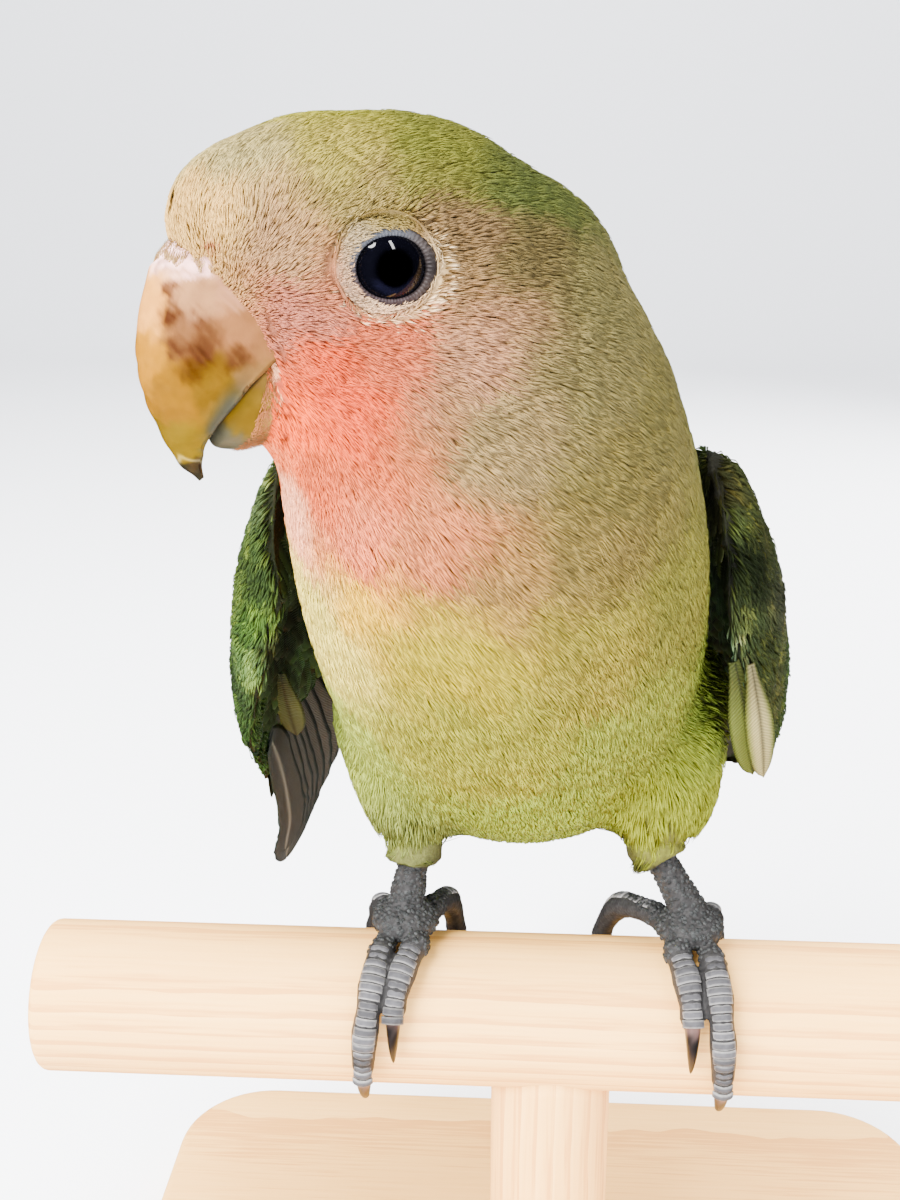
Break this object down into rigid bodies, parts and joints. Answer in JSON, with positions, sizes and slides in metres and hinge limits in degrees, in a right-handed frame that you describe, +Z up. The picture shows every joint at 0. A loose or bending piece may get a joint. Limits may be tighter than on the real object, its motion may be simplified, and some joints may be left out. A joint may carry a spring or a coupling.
{
  "type": "peach-faced lovebird on a perch stand",
  "caption": "Still, life-size model of a young green lovebird with a peach-pink face and hooked bill, head turned aside, gripping a round wooden perch on a flat display stand.",
  "frame": {"origin": "centre of the underside of the stand's base", "axes": "+Z up, the bird's breast faces -Y, the perch lies along X, and the bird's left side is +X"},
  "size_m": [0.102, 0.1284, 0.1352],
  "materials": {
    "face_plumage": "short soft feathers, salmon pink round the bill, beige at the forehead, olive over the crown",
    "neck_plumage": "short soft feathers, olive beige, pink at the throat",
    "body_plumage": "soft feathers, pale yellow at the breast, yellow green below, green over the back, blue at the rump",
    "tail_feathers": "smooth vaned feathers, green with a darker band",
    "wing_feathers": "smooth vaned feathers, dark green with yellow-green edges",
    "flight_feathers": "long smooth vaned feathers, grey brown below, dark green on the outer webs",
    "bill_horn": "smooth horn, pink at the base, orange yellow towards the tip, with brown juvenile marks",
    "eye": "wet and glossy, near black",
    "foot_skin": "dry scaly skin, grey",
    "claw_horn": "smooth horn, dark grey with a paler root",
    "pine": "sanded pale pine, unvarnished"
  },
  "bodies": {
    "root": {"head": "face_plumage", "neck": "neck_plumage", "trunk": "body_plumage", "thigh_left": "body_plumage", "thigh_right": "body_plumage", "tail": "tail_feathers", "wing_left": "wing_feathers", "wing_right": "wing_feathers", "flight_feathers_left": "flight_feathers", "flight_feathers_right": "flight_feathers", "bill_upper": "bill_horn", "bill_lower": "bill_horn", "eye_left": "eye", "eye_right": "eye", "foot_left": "foot_skin", "foot_right": "foot_skin", "toe_left_inner_front": "foot_skin", "toe_left_outer_front": "foot_skin", "toe_left_inner_back": "foot_skin", "toe_left_outer_back": "foot_skin", "toe_right_inner_front": "foot_skin", "toe_right_outer_front": "foot_skin", "toe_right_inner_back": "foot_skin", "toe_right_outer_back": "foot_skin", "claw_left_inner_front": "claw_horn", "claw_left_outer_front": "claw_horn", "claw_left_inner_back": "claw_horn", "claw_left_outer_back": "claw_horn", "claw_right_inner_front": "claw_horn", "claw_right_outer_front": "claw_horn", "claw_right_inner_back": "claw_horn", "claw_right_outer_back": "claw_horn", "stand_perch": "pine", "stand_rod": "pine", "stand_base": "pine"}
  },
  "joints": []
}
